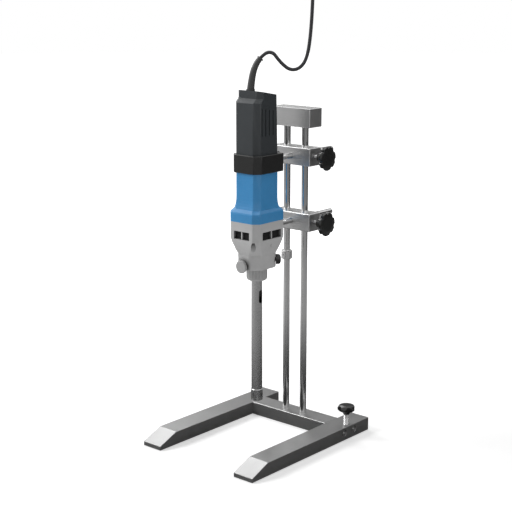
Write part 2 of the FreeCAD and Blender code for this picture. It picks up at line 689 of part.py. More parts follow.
def gear_housing_wires():
    wires = [
        section(GEARBOX_X - 5, GEARBOX_Y - 5, GEARBOX_CHAMFER - 1, GEARBOX_Z, 10.0),
        section(GEARBOX_X - 1.4, GEARBOX_Y - 1.4, GEARBOX_CHAMFER, GEARBOX_Z + 1.2, 11.0),
        section(GEARBOX_X, GEARBOX_Y, GEARBOX_CHAMFER, GEARBOX_Z + 4, 12.0),
    ]
    steps = 5
    for i in range(steps + 1):
        t = i / steps
        share = taper_share(t)
        wires.append(section(
            blend_size(GEARBOX_X, FLANGE_X, share), blend_size(GEARBOX_Y, FLANGE_Y, share),
            blend_size(GEARBOX_CHAMFER, FLANGE_CHAMFER, share),
            blend_size(TAPER_LOW_Z, TAPER_TOP_Z, t), blend_size(12.0, 5.0, share)))
    wires.append(section(FLANGE_X, FLANGE_Y, FLANGE_CHAMFER, FLANGE_Z, 5.0))
    return wires


def housing_screw_places():
    for side_x in (-1, 1):
        for side_y in (-1, 1):
            yield side_x * HOUSING_SCREW_X, AXIS_Y + side_y * HOUSING_SCREW_Y


def vent_cut(width, depth, normal):
    """A wide slot through a wall, with a middle rib set back from the outer face."""
    half = width / 2
    rib = VENT_RIB / 2
    left = block(-half, -rib, 0, depth, VENT_LOW, VENT_HIGH)
    right = block(rib, half, 0, depth, VENT_LOW, VENT_HIGH)
    front = block(-rib, rib, 0, VENT_RIB_SET_BACK, VENT_LOW, VENT_HIGH)
    cut = left.fuse(right).fuse(front)
    turn = math.degrees(math.atan2(normal.y, normal.x)) + 90
    cut.rotate(Vector(0, 0, 0), Z, turn)
    return cut


def gear_housing_rooms():
    """Gear room, upper gear room and fan chamber, stacked inside the gear housing."""
    gear_room = section(GEARBOX_X - 4 * WALL, GEARBOX_Y - 4 * WALL, GEARBOX_CHAMFER - 4, GEAR_FLOOR_Z)
    upper_room = section(GEARBOX_X - 9, GEARBOX_Y - 9, GEARBOX_CHAMFER - 3, CARRIER_PLATE_Z)
    fan_room = section(FLANGE_X - 11, FLANGE_Y - 10, FLANGE_CHAMFER + CORNER_WALL, FAN_CHAMBER_Z)
    yield prism(gear_room, CARRIER_PLATE_Z - GEAR_FLOOR_Z)
    yield prism(upper_room, FAN_CHAMBER_Z - CARRIER_PLATE_Z)
    yield prism(fan_room, FLANGE_Z - FAN_CHAMBER_Z)


def cut_vents(body):
    """Vents to the fan chamber in the front and in both sides."""
    for width, reach, normal in (
        (FRONT_VENT, FLANGE_Y / 2, -Y), (SIDE_VENT, FLANGE_X / 2, X), (SIDE_VENT, FLANGE_X / 2, -X),
    ):
        cut = vent_cut(width, VENT_DEPTH, normal)
        cut.translate(Vector(0, AXIS_Y, 0) + normal * (reach + 1))
        body = body.cut(cut)
    return body


def cut_recesses(body):
    """Arched recesses over the corner screws, and a shallow arch in each side."""
    for x, y in housing_screw_places():
        arch = cylinder(ARCH_RADIUS, TAPER_LOW_Z + 6, ARCH_TOP, x, y)
        hole = cylinder(HOUSING_SCREW / 2 + FIT, ARCH_TOP, FLANGE_Z, x, y)
        body = body.cut(arch).cut(hole)
    for side in (-1, 1):
        place = Vector(side * (FLANGE_X / 2 + 0.5), AXIS_Y, SIDE_ARCH_LOW)
        arch = Part.makeCylinder(SIDE_ARCH_RADIUS, SIDE_ARCH_HIGH - SIDE_ARCH_LOW, place, Z)
        place.z = SIDE_ARCH_HIGH
        body = body.cut(arch.fuse(Part.makeCone(SIDE_ARCH_RADIUS, 0.5, SIDE_ARCH_POINT, place, Z)))
    return body


def cut_gear_bores(body):
    """Bores for the rear rod and its screw, the spindle, the countershaft and the controls."""
    rod_end = AXIS_Y + BOSS_Y
    boss_low = LOWER_ARM_Z - BOSS_DIAMETER / 2
    body = body.cut(bar(ROD_DIAMETER / 2, Vector(0, rod_end - BOSS_SEAT, LOWER_ARM_Z), Y, BOSS_SEAT))
    body = body.cut(bar(SET_SCREW_DIAMETER / 2, Vector(0, rod_end - 6, boss_low), Z, BOSS_DIAMETER / 2))
    body = body.cut(cylinder(COUPLING_DIAMETER / 2 + 2, NUT_THREAD_LOW, GEARBOX_Z + 3, 0, AXIS_Y))
    body = body.cut(cylinder(SPINDLE_BEARING[1], SPINDLE_BEARING_Z, GEAR_FLOOR_Z, 0, AXIS_Y))
    body = body.cut(cylinder(SPINDLE_DIAMETER / 2 + 2, GEARBOX_Z, GEAR_FLOOR_Z, 0, AXIS_Y))
    bush_low = GEAR_FLOOR_Z - COUNTERSHAFT_BUSH_HEIGHT
    body = body.cut(cylinder(COUNTERSHAFT_BUSH / 2, bush_low, GEAR_FLOOR_Z, 0, COUNTER_Y))
    stem_end = Vector(0, AXIS_Y - GEARBOX_Y / 2 + 10, SELECTOR_Z)
    body = body.cut(bar(SELECTOR_STEM + FIT, stem_end, -Y, 20))
    well_floor = lock_button_start() - LOCK_TRAVEL
    for radius, start in (
        (LOCK_PIN + FIT, 0), (LOCK_STEM + 0.3, LOCK_POCKET),
        (LOCK_BUTTON_DIAMETER / 2 + LOCK_BUTTON_GAP, well_floor),
    ):
        bore = cylinder(radius, start, LOCK_BORE_REACH)
        body = body.cut(aimed(bore, LOCK_AXIS_POINT, LOCK_DIRECTION))
    return body


def make_gear_housing():
    body = lofted(gear_housing_wires())
    thread = cylinder(NUT_THREAD_DIAMETER / 2, NUT_THREAD_LOW, GEARBOX_Z + 2, 0, AXIS_Y)
    boss_start = FLANGE_Y / 2 - 6
    boss = bar(BOSS_DIAMETER / 2, Vector(0, AXIS_Y + boss_start, LOWER_ARM_Z), Y, BOSS_Y - boss_start)
    body = body.fuse(thread).fuse(boss)
    for room in gear_housing_rooms():
        body = body.cut(room)
    body = cut_gear_bores(cut_recesses(cut_vents(body)))
    save("gear_housing", body)
    reach = FLANGE_Z - ARCH_TOP + HOUSING_SCREW_REACH
    screws = []
    for x, y in housing_screw_places():
        screws.append(socket_screw(HOUSING_SCREW, reach, Vector(x, y, ARCH_TOP), Z))
    screw_z = LOWER_ARM_Z - BOSS_DIAMETER / 2 + 1
    length = BOSS_DIAMETER / 2 - ROD_DIAMETER / 2 - 1
    place = Vector(0, AXIS_Y + BOSS_Y - BOSS_SEAT / 2, screw_z)
    screws.append(set_screw(SET_SCREW_DIAMETER, length, place, Z))
    save("head_screws", *screws)


def flare_share(t):
    return 1 - math.sqrt(max(0.0, 1 - (1 - t) ** 2))


def motor_housing_wires(inset, corner_extra):
    wires = []
    low_corner = FLANGE_CHAMFER + corner_extra
    wide = FLANGE_X - 2 * inset
    deep = FLANGE_Y - 2 * inset
    body_corner = BODY_CHAMFER - inset * 0.6
    wires.append(section(wide, deep, low_corner, FLANGE_Z, 5.0))
    wires.append(section(wide, deep, low_corner, FLANGE_TOP_Z - 3, 5.0))
    wires.append(section(wide - 2, deep - 2, low_corner - 0.5, FLANGE_TOP_Z, 5.0))
    steps = 5
    for i in range(1, steps + 1):
        t = i / steps
        share = flare_share(t)
        wires.append(section(
            blend_size(BODY_X, FLANGE_X - 4, share) - 2 * inset,
            blend_size(BODY_Y, FLANGE_Y - 4, share) - 2 * inset,
            blend_size(BODY_CHAMFER, low_corner, share) - (inset * 0.6 if t == 1 else 0),
            blend_size(FLANGE_TOP_Z, FLARE_TOP_Z, t), 4.0))
    wires.append(section(BODY_X - 2 * inset, BODY_Y - 2 * inset, body_corner, HOUSING_JOINT_Z, 4.0))
    return wires


def make_motor_housing():
    outer = lofted(motor_housing_wires(0.0, 0.0))
    inner = lofted(motor_housing_wires(WALL, CORNER_WALL))
    body = outer.cut(inner)
    for x, y in housing_screw_places():
        body = body.cut(cylinder(HOUSING_SCREW / 2, FLANGE_Z, FLANGE_Z + HOUSING_SCREW_REACH, x, y))
    save("motor_housing", body)


def rear_housing_wire(lean, z, inset):
    """Body outline with its rear face brought forward by lean."""
    depth = BODY_Y - lean - 2 * inset
    return section(BODY_X - 2 * inset, depth, BODY_CHAMFER - inset * 0.6, z, 4.0, AXIS_Y - lean / 2)


def top_plane_cut(drop, above=40.0):
    """Everything above the sloping top, lowered by drop."""
    half = BODY_Y / 2
    rear_top = HOUSING_TOP_FRONT - HOUSING_TOP_SLOPE
    profile = (
        (AXIS_Y - half, HOUSING_TOP_FRONT - drop), (AXIS_Y + half, rear_top - drop),
        (AXIS_Y + half, HOUSING_TOP_FRONT + above), (AXIS_Y - half, HOUSING_TOP_FRONT + above),
    )
    corners = [Vector(-BODY_X, y, z) for y, z in profile]
    return Part.Face(Part.makePolygon(corners + corners[:1])).extrude(Vector(2 * BODY_X, 0, 0))


def shoulder_cut(drop, set_in):
    """The stepped-back front of the housing's top, with a sloping ledge."""
    cap = []
    deep = BODY_Y + 2 - 2 * set_in
    for step, z in (
        (0, SHOULDER_LOW), (SHOULDER_STEP, SHOULDER_HIGH), (SHOULDER_STEP, HOUSING_TOP_FRONT + 50),
    ):
        cap.append(section(BODY_X + 2, deep, BODY_CHAMFER, z - drop, 4.0, AXIS_Y + step + 1))
    low = SHOULDER_LOW - drop + 0.01
    front = block(-BODY_X, BODY_X, AXIS_Y - BODY_Y, AXIS_Y, low, HOUSING_TOP_FRONT + 40)
    return front.cut(Part.makeLoft(cap, True, True))


def slot_shape(width, low, high, depth, place, normal):
    """Upright slot with round ends, cut inwards from a face."""
    radius = width / 2
    cut = block(-radius, radius, 0, depth, low + radius, high - radius)
    for z in (low + radius, high - radius):
        cut = cut.fuse(Part.makeCylinder(radius, depth, Vector(0, 0, z), Y))
    turn = math.degrees(math.atan2(normal.y, normal.x)) + 90
    cut.rotate(Vector(0, 0, 0), Z, turn)
    cut.translate(place)
    return cut


def make_rear_housing():
    outer = lofted([
        rear_housing_wire(0, HOUSING_JOINT_Z, 0), rear_housing_wire(REAR_LEAN, HOUSING_TOP_FRONT, 0),
    ])
    outer = outer.cut(top_plane_cut(0)).cut(shoulder_cut(0, 0))
    inner = lofted([
        rear_housing_wire(0, HOUSING_JOINT_Z, WALL), rear_housing_wire(REAR_LEAN, HOUSING_TOP_FRONT, WALL),
    ])
    inner = inner.cut(top_plane_cut(WALL)).cut(shoulder_cut(WALL, WALL))
    body = outer.cut(inner)
    first = -(INTAKE_SLOTS - 1) / 2
    for i in range(INTAKE_SLOTS):
        offset = (first + i) * INTAKE_PITCH
        top = INTAKE_HIGH - (offset + BODY_Y / 2) / BODY_Y * HOUSING_TOP_SLOPE
        for normal in (X, -X):
            place = Vector(normal.x * (BODY_X / 2 + 1), AXIS_Y + offset, 0)
            body = body.cut(slot_shape(INTAKE_WIDTH, INTAKE_LOW, top, WALL + 4, place, normal))
    rear = AXIS_Y + BODY_Y / 2
    deep = rear - WALL - REAR_LEAN - 4
    half = DIAL_SLOT_HEIGHT / 2
    body = body.cut(block(-5, 5, deep, rear + 1, SWITCH_Z - 13, SWITCH_Z + 13))
    body = body.cut(block(-4.4, 4.4, deep, rear + 1, DIAL_Z - half, DIAL_Z + half))
    body = body.cut(cylinder(CORD_DIAMETER / 2 + 3, SHOULDER_LOW, HOUSING_TOP_FRONT, 0, AXIS_Y - CORD_FOOT_Y))
    save("rear_housing", body.fuse(rear_bearing_web()).removeSplitter())


def rear_bearing_web():
    """Moulded cross web that carries the armature's top bearing."""
    high = TOP_BEARING_Z + TOP_BEARING_HEIGHT
    room = section(BODY_X - 2 * WALL - 0.4, BODY_Y - 2 * WALL - 0.4, BODY_CHAMFER - WALL, TOP_BEARING_Z)
    web = prism(room, TOP_BEARING_HEIGHT)
    half = 8.0
    for side_x in (-1, 1):
        for side_y in (-1, 1):
            x0, x1 = sorted((side_x * half, side_x * BODY_X))
            y0, y1 = sorted((side_y * half, side_y * BODY_Y))
            web = web.cut(block(x0, x1, AXIS_Y + y0, AXIS_Y + y1, TOP_BEARING_Z, high))
    web = web.fuse(cylinder(TOP_BEARING[1] + 4, TOP_BEARING_Z, high, 0, AXIS_Y))
    return web.cut(cylinder(TOP_BEARING[1], TOP_BEARING_Z, high, 0, AXIS_Y))


# Motor inside the housings

def make_bearings():
    """Sealed ball bearings, each a plain ring that its shaft runs in."""
    bearings = []
    for (bore, outside), low, height in (
        (SPINDLE_BEARING, SPINDLE_BEARING_Z, SPINDLE_BEARING_HEIGHT),
        (UPPER_SPINDLE_BEARING, CARRIER_PLATE_Z, CARRIER_PLATE_HEIGHT),
        (ARMATURE_BEARING, FAN_CHAMBER_Z + 1, ARMATURE_BEARING_HEIGHT),
        (TOP_BEARING, TOP_BEARING_Z, TOP_BEARING_HEIGHT),
    ):
        bearings.append(ring(outside, bore + FIT, low, low + height, 0, AXIS_Y))
    save("ball_bearings", *bearings)


def make_field_stator():
    outer = STATOR_STACK_DIAMETER / 2
    inner = ARMATURE_DIAMETER / 2 + AIR_GAP
    stack = ring(outer, inner, ARMATURE_LOW, ARMATURE_HIGH, 0, AXIS_Y)
    save("field_stator", stack)
    coils = []
    for low, high in ((ARMATURE_LOW - 10, ARMATURE_LOW), (ARMATURE_HIGH, ARMATURE_HIGH + 10)):
        coils.append(ring(outer - 3, inner + 2, low, high, 0, AXIS_Y))
    save("field_windings", *coils)


def make_armature():
    radius = ARMATURE_DIAMETER / 2
    low = INPUT_GEAR_Z - 1.0
    shaft = cylinder(ARMATURE_SHAFT / 2, low, TOP_BEARING_Z, 0, AXIS_Y)
    journal_top = TOP_BEARING_Z + TOP_BEARING_HEIGHT + 2
    shaft = shaft.fuse(cylinder(ARMATURE_JOURNAL / 2, low, journal_top, 0, AXIS_Y))
    gear_top = INPUT_GEAR_Z + GEAR_WIDTH
    pinion = spur_gear(PINION_TEETH, INPUT_GEAR_Z, gear_top, ARMATURE_SHAFT, 0, AXIS_Y, -math.pi / 2)
    save("armature_shaft", shaft.fuse(pinion).removeSplitter())
    core = ring(radius, ARMATURE_SHAFT / 2, ARMATURE_LOW, ARMATURE_HIGH, 0, AXIS_Y)
    slot = block(radius - 6, radius + 1, -1, 1, ARMATURE_LOW, ARMATURE_HIGH)
    for i in range(ARMATURE_SLOTS):
        cut = slot.copy()
        cut.rotate(Vector(0, 0, 0), Z, 360 * i / ARMATURE_SLOTS)
        cut.translate(Vector(0, AXIS_Y, 0))
        core = core.cut(cut)
    save("armature_core", core)
    ends = []
    inner = ARMATURE_SHAFT / 2
    for start, end in ((ARMATURE_LOW, ARMATURE_LOW - 12), (ARMATURE_HIGH, ARMATURE_HIGH + 14)):
        ends.append(turned((
            (inner, start), (radius - 2, start), (radius - 4, (start + end) / 2),
            (inner + 4, end), (inner, end),
        ), 0, AXIS_Y))
    save("armature_windings", *ends)
    high = COMMUTATOR_LOW + COMMUTATOR_HEIGHT
    save("commutator", ring(COMMUTATOR_DIAMETER / 2, ARMATURE_SHAFT / 2, COMMUTATOR_LOW, high, 0, AXIS_Y))


def make_fan():
    radius = FAN_DIAMETER / 2
    top = FAN_Z + FAN_HEIGHT
    plate = ring(radius, ARMATURE_SHAFT / 2, top - 2, top, 0, AXIS_Y)
    hub = ring(12, ARMATURE_SHAFT / 2, FAN_Z, top, 0, AXIS_Y)
    fan = plate.fuse(hub)
    for i in range(FAN_BLADES):
        blade = block(11, radius - 1, -1, 1, FAN_Z, top - 2)
        blade.rotate(Vector(11, 0, 0), Z, 22)
        blade.rotate(Vector(0, 0, 0), Z, 360 * i / FAN_BLADES)
        blade.translate(Vector(0, AXIS_Y, 0))
        fan = fan.fuse(blade)
    save("cooling_fan", fan.common(cylinder(radius, FAN_Z, top, 0, AXIS_Y)).removeSplitter())


def brush_block(side, near, far, margin=0.0):
    """Block on one side of the commutator with the brush's section, wider by a margin."""
    half_wide = BRUSH_SECTION[0] / 2 + margin
    half_tall = BRUSH_SECTION[1] / 2 + margin
    middle = COMMUTATOR_LOW + COMMUTATOR_HEIGHT / 2
    start, end = sorted((side * near, side * far))
    return block(start, end, AXIS_Y - half_wide, AXIS_Y + half_wide, middle - half_tall, middle + half_tall)


def make_brush_gear():
    touch = COMMUTATOR_DIAMETER / 2 + 0.1
    wall = BODY_X / 2 - WALL - 3 * SEAT_GAP
    brushes = []
    holders = []
    for side in (-1, 1):
        brushes.append(brush_block(side, touch, touch + BRUSH_LENGTH))
        case = brush_block(side, touch + 3, wall, 2)
        holders.append(case.cut(brush_block(side, touch + 2, wall - 1.5)))
    save("carbon_brushes", *brushes)
    save("brush_holders", *holders)


def make_gear_plates():
    low = FAN_CHAMBER_Z
    high = low + BEARING_PLATE_HEIGHT
    outline = section(FLANGE_X - 12, FLANGE_Y - 11, FLANGE_CHAMFER + CORNER_WALL, low)
    floor = prism(outline, BEARING_PLATE_HEIGHT)
    floor = floor.cut(cylinder(ARMATURE_BEARING[1], low + 1, high, 0, AXIS_Y))
    floor = floor.cut(cylinder(ARMATURE_BEARING[0] + 3, low, high, 0, AXIS_Y))
    floor = floor.cut(cylinder(COUNTERSHAFT_BUSH / 2, low, low + COUNTERSHAFT_BUSH_HEIGHT, 0, COUNTER_Y))
    save("bearing_plate", floor)
    low = CARRIER_PLATE_Z
    high = low + CARRIER_PLATE_HEIGHT
    outline = section(GEARBOX_X - 9.4, GEARBOX_Y - 9.4, GEARBOX_CHAMFER - 3, low)
    carrier = prism(outline, CARRIER_PLATE_HEIGHT)
    carrier = carrier.cut(cylinder(UPPER_SPINDLE_BEARING[1], low, high, 0, AXIS_Y))
    carrier = carrier.cut(cylinder(COUNTERSHAFT_DIAMETER / 2 + 1, low, high, 0, COUNTER_Y))
    save("gear_carrier_plate", carrier)


def make_countershaft():
    half = COUNTERSHAFT_DIAMETER / 2
    low = GEAR_FLOOR_Z - COUNTERSHAFT_BUSH_HEIGHT
    high = FAN_CHAMBER_Z + COUNTERSHAFT_BUSH_HEIGHT
    shaft = cylinder(half, GEAR_FLOOR_Z + 0.5, FAN_CHAMBER_Z - 0.5, 0, COUNTER_Y)
    shaft = shaft.fuse(cylinder(COUNTERSHAFT_END / 2, low + 0.2, high - 0.2, 0, COUNTER_Y))
    bore = COUNTERSHAFT_DIAMETER
    top = OUTPUT_GEAR_Z + GEAR_WIDTH
    pinion = spur_gear(PINION_TEETH, OUTPUT_GEAR_Z, top, bore, 0, COUNTER_Y, math.pi / 2)
    save("countershaft", shaft.fuse(pinion).removeSplitter())
    top = INPUT_GEAR_Z + GEAR_WIDTH
    turn = math.pi / 2 + math.pi / WHEEL_TEETH
    save("countershaft_wheel", spur_gear(WHEEL_TEETH, INPUT_GEAR_Z, top, bore, 0, COUNTER_Y, turn))
    save("plain_bushes", *[
        ring(COUNTERSHAFT_BUSH / 2, COUNTERSHAFT_END / 2 + FIT, z, z + COUNTERSHAFT_BUSH_HEIGHT, 0, COUNTER_Y)
        for z in (low, FAN_CHAMBER_Z)
    ])


# Output spindle, mixing shaft and stator

def make_spindle():
    half = SPINDLE_DIAMETER / 2
    tail_low = SHAFT_TOP + 1
    wheel_top = OUTPUT_GEAR_Z + GEAR_WIDTH
    spindle = cylinder(half, GEARBOX_Z, wheel_top, 0, AXIS_Y)
    spindle = spindle.fuse(cylinder(SPINDLE_JOURNAL / 2, tail_low, SPINDLE_TOP, 0, AXIS_Y))
    save("output_spindle", spindle.removeSplitter())
    turn = -math.pi / 2 + math.pi / WHEEL_TEETH
    save("output_wheel", spur_gear(
        WHEEL_TEETH, OUTPUT_GEAR_Z, wheel_top, SPINDLE_DIAMETER, 0, AXIS_Y, turn))


def make_drive_shaft():
    half = SHAFT_DIAMETER / 2
    low = STATOR_BOTTOM + 1
    save("drive_shaft", cylinder(half, low, SHAFT_TOP, 0, AXIS_Y))
    sleeve = cylinder(COUPLING_DIAMETER / 2, SHAFT_TOP - 8, GEARBOX_Z - 1, 0, AXIS_Y)
    sleeve = sleeve.cut(cylinder(half, SHAFT_TOP - 8, SHAFT_TOP + 0.5, 0, AXIS_Y))
    sleeve = sleeve.cut(cylinder(SPINDLE_JOURNAL / 2, SHAFT_TOP + 0.5, GEARBOX_Z, 0, AXIS_Y))
    save("shaft_coupling", sleeve)
    radius = STATOR_BORE / 2 - SHEAR_GAP
    rotor = ring(radius, half, low, low + ROTOR_HEIGHT, 0, AXIS_Y)
    for i in range(ROTOR_TEETH):
        gap = block(half + 2, radius + 1, -3.2, 3.2, low - 1, low + ROTOR_HEIGHT - 4)
        gap.rotate(Vector(0, 0, 0), Z, 360 * (i + 0.5) / ROTOR_TEETH)
        gap.translate(Vector(0, AXIS_Y, 0))
        rotor = rotor.cut(gap)
    save("rotor", rotor)


def make_outer_tube():
    outer = TUBE_DIAMETER / 2
    inner = outer - TUBE_WALL
    flange_low = TUBE_TOP - TUBE_FLANGE_THICKNESS
    flange = cylinder(TUBE_FLANGE_DIAMETER / 2, flange_low, TUBE_TOP, 0, AXIS_Y)
    tube = cylinder(outer, STATOR_TOP, TUBE_TOP, 0, AXIS_Y).fuse(flange)
    tube = tube.cut(cylinder(inner, STATOR_TOP, TUBE_TOP, 0, AXIS_Y))
    place = Vector(outer + 1, AXIS_Y, 0)
    slot = slot_shape(TUBE_SLOT_WIDTH, TUBE_SLOT_LOW, TUBE_SLOT_HIGH, outer, place, X)
    save("outer_tube", tube.cut(slot).removeSplitter())
    bushes = []
    for low in (STATOR_TOP + 12, (TUBE_SLOT_LOW + STATOR_TOP) / 2, flange_low - BUSH_HEIGHT):
        bushes.append(ring(inner, SHAFT_DIAMETER / 2 + FIT, low, low + BUSH_HEIGHT, 0, AXIS_Y))
    save("plain_bushes", *bushes)


def make_stator_head():
    outer = STATOR_DIAMETER / 2
    inner = STATOR_BORE / 2
    spigot = TUBE_DIAMETER / 2 - TUBE_WALL
    bore = SHAFT_DIAMETER / 2 + 1.5
    roof = STATOR_BOTTOM + ROTOR_HEIGHT + 2
    head = turned((
        (inner, STATOR_BOTTOM), (outer - 1, STATOR_BOTTOM), (outer, STATOR_BOTTOM + 1),
        (outer, STATOR_TOP - 1), (outer - 1, STATOR_TOP), (spigot, STATOR_TOP), (spigot, STATOR_TOP + 10),
        (bore, STATOR_TOP + 10), (bore, roof), (inner, roof),
    ), 0, AXIS_Y)
    slot_depth = outer - inner + 3
    for i in range(STATOR_SLOTS):
        turn = 2 * math.pi * i / STATOR_SLOTS
        normal = Vector(math.cos(turn), math.sin(turn), 0)
        place = Vector(0, AXIS_Y, 0) + normal * (outer + 1)
        slot = slot_shape(STATOR_SLOT_WIDTH, STATOR_SLOT_LOW, STATOR_SLOT_HIGH, slot_depth, place, normal)
        head = head.cut(slot)
    save("stator_head", head)


def make_union_nut():
    outer = NUT_DIAMETER / 2
    top = GEARBOX_Z - SEAT_GAP
    thread = NUT_THREAD_DIAMETER / 2 + FIT
    hole = TUBE_DIAMETER / 2 + SEAT_GAP
    lip = NUT_Z + NUT_LIP
    nut = turned((
        (hole, NUT_Z), (outer - NUT_ROUND, NUT_Z), (outer - NUT_ROUND * 0.45, NUT_Z + NUT_ROUND * 0.2),
        (outer - NUT_ROUND * 0.12, NUT_Z + NUT_ROUND * 0.55), (outer, NUT_Z + NUT_ROUND * 1.1),
        (outer, top), (thread, top), (thread, lip), (hole, lip),
    ), 0, AXIS_Y)
    for i in range(NUT_GROOVES):
        turn = 2 * math.pi * i / NUT_GROOVES
        place_x = (outer + 1.0) * math.cos(turn)
        place_y = AXIS_Y + (outer + 1.0) * math.sin(turn)
        nut = nut.cut(cylinder(1.6, NUT_Z, top, place_x, place_y))
    save("union_nut", nut)
    ring_top = lip + SLIP_RING_THICKNESS - FIT
    save("union_nut_ring", ring(thread - SEAT_GAP, hole, lip + FIT, ring_top, 0, AXIS_Y))


# Controls

def make_selector():
    face_y = AXIS_Y - GEARBOX_Y / 2 - SELECTOR_PROUD
    outer = SELECTOR_DIAMETER / 2
    seat = SELECTOR_PROUD - SEAT_GAP
    end = SELECTOR_PROUD + 9
    disc = turned((
        (0, 0), (outer - 1, 0), (outer, 1), (outer, SELECTOR_FACE), (9, seat),
        (SELECTOR_STEM, seat), (SELECTOR_STEM, end), (0, end),
    ))
    save("gear_selector", aimed(disc, Vector(0, face_y, SELECTOR_Z), Y))


def lock_button_start():
    """Distance from the spindle axis to the corner facet that the lock button stands on."""
    return (GEARBOX_X / 2 + GEARBOX_Y / 2 - GEARBOX_CHAMFER) / math.sqrt(2)


def make_lock_button():
    start = lock_button_start() + LOCK_BUTTON_GAP
    end = lock_button_start() + LOCK_BUTTON_PROUD
    pin_tip = SPINDLE_DIAMETER / 2 + LOCK_TRAVEL + SEAT_GAP
    outer = LOCK_BUTTON_DIAMETER / 2
    step = LOCK_POCKET + LOCK_TRAVEL + 1
    button = turned((
        (0, pin_tip), (LOCK_PIN, pin_tip), (LOCK_PIN, step), (LOCK_STEM, step), (LOCK_STEM, start),
        (outer, start), (outer, end - 4.5), (outer - 1.8, end - 1.6), (outer - 5, end), (0, end),
    ))
    save("spindle_lock_button", aimed(button, LOCK_AXIS_POINT, LOCK_DIRECTION))


def make_switch_and_dial():
    rear = AXIS_Y + BODY_Y / 2 - REAR_LEAN * 0.62
    slider = block(-7, 7, rear - WALL - 3.2, rear - WALL - 0.9, SWITCH_Z - 14, SWITCH_Z + 8)
    thumb = block(-4.6, 4.6, rear - WALL - 1, rear + 2.5, SWITCH_Z - 11, SWITCH_Z + 3)
    save("power_switch", slider.fuse(thumb).removeSplitter())
    radius = DIAL_DIAMETER / 2
    half = DIAL_WIDTH / 2
    middle = Vector(-half, rear + DIAL_PROUD - radius, DIAL_Z)
    dial = bar(radius, middle, X, DIAL_WIDTH)
    save("speed_dial", dial.cut(bar(DIAL_STEM + FIT, middle, X, DIAL_WIDTH)))
    switch = block(-12, 12, rear - 20, rear - WALL - 3.6, SWITCH_Z - 16, SWITCH_Z + 16)
    arm = block(half + 0.8, half + 4.8, middle.y - 5, middle.y + 5, SWITCH_Z + 16, DIAL_Z + 6)
    stem = bar(DIAL_STEM, middle, X, DIAL_WIDTH + 2)
    save("switch_and_speed_control", switch.fuse(arm).fuse(stem).removeSplitter())


# Cord

def cord_point(out, height):
    turn = math.radians(CORD_HEADING)
    return Vector(out * math.cos(turn), AXIS_Y - CORD_FOOT_Y + out * math.sin(turn), height)


def make_strain_relief():
    centres = [cord_point(out, height) for out, height in STRAIN_RELIEF_PATH]
    count = len(centres)
    wires = []
    for i, centre in enumerate(centres):
        ahead = centres[min(i + 1, count - 1)] - centres[max(i - 1, 0)]
        share = i / (count - 1)
        radius = blend_size(STRAIN_RELIEF_LARGE, STRAIN_RELIEF_SMALL, share) / 2
        wires.append(Part.Wire(Part.Circle(centre, ahead.normalize(), radius).toShape()))
    body = Part.makeLoft(wires, True, False)
    last = (centres[-1] - centres[-2]).normalize()
    lip = Part.makeCylinder(STRAIN_RELIEF_LIP / 2, 3.0, centres[-1] - last * 3.0, last)
    top = HOUSING_TOP_FRONT - HOUSING_TOP_SLOPE * (BODY_Y / 2 - CORD_FOOT_Y) / BODY_Y
    base = cylinder(STRAIN_RELIEF_BASE / 2, top - 1, top + 4.5, 0, AXIS_Y - CORD_FOOT_Y)
    base = base.cut(top_plane_lower())
    neck = cylinder(CORD_DIAMETER / 2 + 3 - FIT, top - 8, top + 1, 0, AXIS_Y - CORD_FOOT_Y)
    relief = body.cut(top_plane_lower()).fuse(lip).fuse(base).fuse(neck)
    save("strain_relief", relief.removeSplitter())
    return last


def top_plane_lower():
    """Everything below the sloping top of the housing."""
    half = BODY_Y / 2
    profile = (
        (AXIS_Y - half, HOUSING_TOP_FRONT), (AXIS_Y + half, HOUSING_TOP_FRONT - HOUSING_TOP_SLOPE),
        (AXIS_Y + half, HOUSING_TOP_FRONT - 60), (AXIS_Y - half, HOUSING_TOP_FRONT - 60),
    )
    corners = [Vector(-BODY_X, y, z) for y, z in profile]
    return Part.Face(Part.makePolygon(corners + corners[:1])).extrude(Vector(2 * BODY_X, 0, 0))


def route_wire(points):
    """Straight runs joined by tangent arcs, each as large as its two runs allow."""
    edges = []
    start = points[0]
    for i in range(1, len(points) - 1):
        before = points[i - 1] - points[i]
        after = points[i + 1] - points[i]
        shorter = min(before.Length, after.Length)
        back = Vector(before).normalize()
        ahead = Vector(after).normalize()
        inside = back.getAngle(ahead)
        half_turn = (math.pi - inside) / 2
        reach = 0.45 * shorter
        radius = reach / math.tan(half_turn)
        middle = (back + ahead).normalize() * (radius / math.cos(half_turn) - radius)
        arc_start = points[i] + back * reach
        arc_end = points[i] + ahead * reach
        edges.append(Part.LineSegment(start, arc_start).toShape())
        edges.append(Part.Arc(arc_start, points[i] + middle, arc_end).toShape())
        start = arc_end
    edges.append(Part.LineSegment(start, points[-1]).toShape())
    return Part.Wire(edges)


def make_cord():
    points = [cord_point(out, height) for out, height in CORD_ROUTE]
    path = route_wire(points)
    direction = (points[1] - points[0]).normalize()
    profile = Part.Wire(Part.Circle(points[0], direction, CORD_DIAMETER / 2).toShape())
    save("mains_cord", path.makePipeShell([profile], True, False))
    end = points[-1]
    outer = FITTING_DIAMETER / 2
    neck = FITTING_HEIGHT * 0.4
    fitting = turned((
        (0, 0), (CORD_DIAMETER / 2 + 2, 0), (outer - 3, neck), (outer, neck),
        (outer, FITTING_HEIGHT), (0, FITTING_HEIGHT),
    ))
    save("overhead_fitting", aimed(fitting, end, (points[-1] - points[-2]).normalize()))


PIECES = {}


def save(name, *solids):
    """Keep solids for a node; a second call with the same name adds to it."""
    PIECES.setdefault(name, []).extend(solids)


